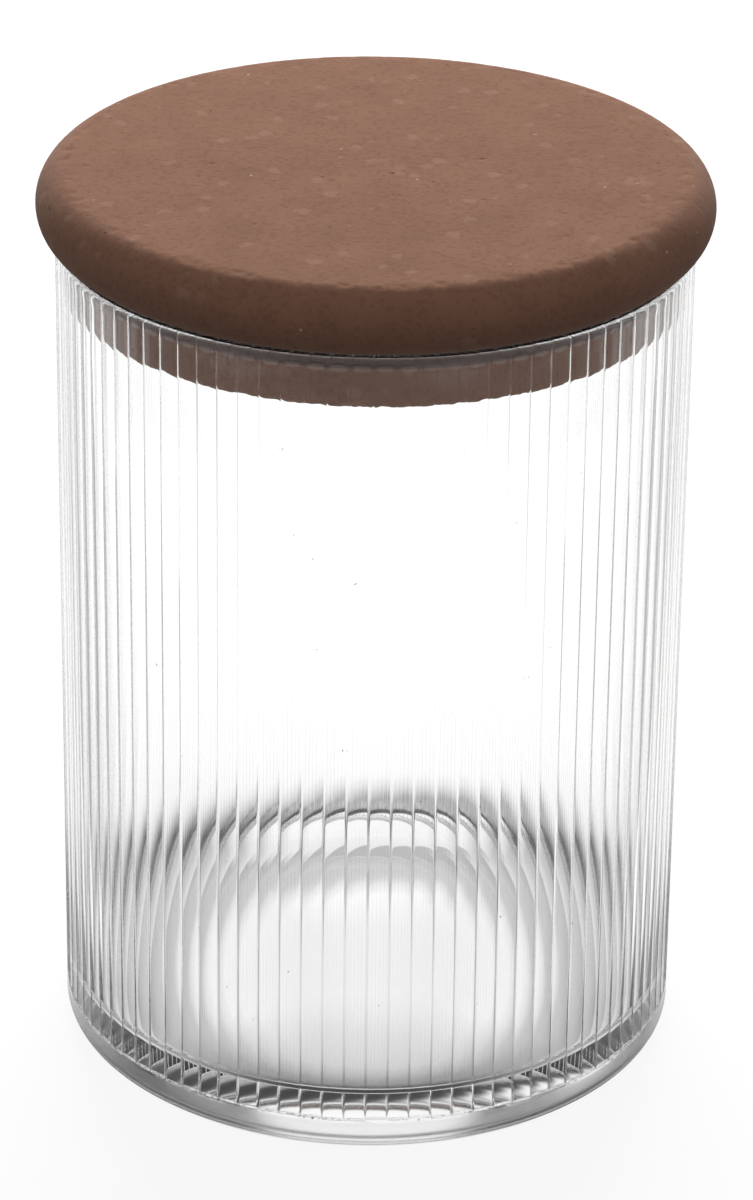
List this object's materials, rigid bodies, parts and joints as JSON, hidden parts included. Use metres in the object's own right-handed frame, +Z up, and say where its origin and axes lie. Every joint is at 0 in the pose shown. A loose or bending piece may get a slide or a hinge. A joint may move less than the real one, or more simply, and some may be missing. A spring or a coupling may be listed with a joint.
{
  "type": "lidded glass storage jar",
  "caption": "Straight-sided clear glass storage jar with fine upright flutes and a thick floor, closed by a round-edged cork lid whose plug lifts out of the mouth.",
  "frame": {"origin": "middle of the plane that the jar stands on", "axes": "+Z up along the jar's axis, from the floor to the lid; X and Y are alike, because the jar is round"},
  "size_m": [0.1058, 0.1058, 0.1485],
  "materials": {
    "clear_glass": "polished",
    "cork": "matte"
  },
  "bodies": {
    "jar": {"glass_jar": "clear_glass"},
    "lid": {"cork_cap": "cork", "cork_plug": "cork"}
  },
  "joints": [
    {"name": "lid_lift", "type": "slide", "parent": "jar", "child": "lid", "axis": [0, 0, 1], "range_m": [0, 0.12]}
  ]
}
